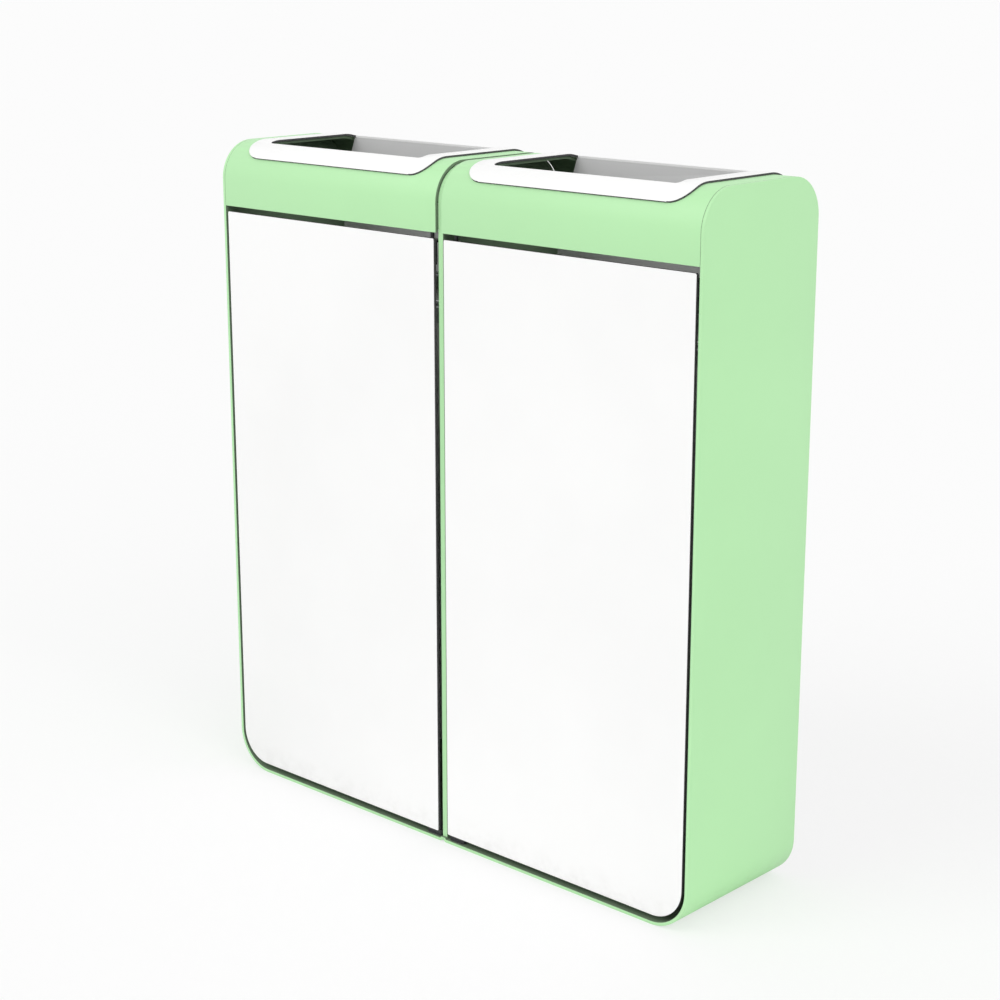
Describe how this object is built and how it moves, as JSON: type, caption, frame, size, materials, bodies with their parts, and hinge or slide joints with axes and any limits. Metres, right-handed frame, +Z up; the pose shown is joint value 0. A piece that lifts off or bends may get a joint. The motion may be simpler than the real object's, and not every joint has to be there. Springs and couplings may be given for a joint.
{
  "type": "double recycling bin",
  "caption": "Free-standing double recycling bin of bent sheet with a rounded hood, two raised deposit rims and a hinged service door on each compartment.",
  "frame": {"origin": "middle of the footprint, on the floor", "axes": "+X to the right seen from the front, +Y from the doors to the back, +Z up"},
  "size_m": [0.82, 0.221, 0.9025],
  "materials": {
    "green_coat": "satin powder coat",
    "white_coat": "satin powder coat",
    "grey_coat": "satin powder coat",
    "zinc_sheet": "zinc plated",
    "zinc_steel": "zinc plated",
    "black_steel": "blackened",
    "bright_wire": "bright plated",
    "pale_nylon": "moulded",
    "dark_plastic": "moulded"
  },
  "bodies": {
    "cabinets": {"right_shell": "green_coat", "right_hood": "green_coat", "right_rim": "white_coat", "right_back_panel": "grey_coat", "right_front_rail": "green_coat", "right_rear_rail": "green_coat", "right_bag_shelf": "zinc_sheet", "right_floor_pivot": "black_steel", "right_top_pin": "black_steel", "right_magnet_catch": "dark_plastic", "left_shell": "green_coat", "left_hood": "green_coat", "left_rim": "white_coat", "left_back_panel": "grey_coat", "left_front_rail": "green_coat", "left_rear_rail": "green_coat", "left_bag_shelf": "zinc_sheet", "left_floor_pivot": "black_steel", "left_top_pin": "black_steel", "left_magnet_catch": "dark_plastic", "rim_nuts": "zinc_steel", "hood_nuts": "zinc_steel", "shelf_nuts": "zinc_steel", "joining_bolts": "zinc_steel", "joining_nuts": "zinc_steel", "rivets": "zinc_steel"},
    "right_door_leaf": {"right_door": "white_coat", "right_lower_hinge_angle": "black_steel", "right_upper_hinge_angle": "black_steel", "right_door_bushes": "pale_nylon", "right_strike_plate": "zinc_sheet"},
    "right_bag_clamp": {"right_clamp_ring": "bright_wire"},
    "left_door_leaf": {"left_door": "white_coat", "left_lower_hinge_angle": "black_steel", "left_upper_hinge_angle": "black_steel", "left_door_bushes": "pale_nylon", "left_strike_plate": "zinc_sheet"},
    "left_bag_clamp": {"left_clamp_ring": "bright_wire"}
  },
  "joints": [
    {"name": "right_door_hinge", "type": "hinge", "parent": "cabinets", "child": "right_door_leaf", "pos_m": [0.0207, -0.1, 0.4], "axis": [0, 0, -1], "range_deg": [0, 90]},
    {"name": "right_clamp_hinge", "type": "hinge", "parent": "cabinets", "child": "right_bag_clamp", "pos_m": [0.205, 0.097, 0.7183], "axis": [-1, 0, 0], "range_deg": [0, 45]},
    {"name": "left_door_hinge", "type": "hinge", "parent": "cabinets", "child": "left_door_leaf", "pos_m": [-0.0207, -0.1, 0.4], "axis": [0, 0, 1], "range_deg": [0, 90]},
    {"name": "left_clamp_hinge", "type": "hinge", "parent": "cabinets", "child": "left_bag_clamp", "pos_m": [-0.205, 0.097, 0.7183], "axis": [-1, 0, 0], "range_deg": [0, 45]}
  ]
}
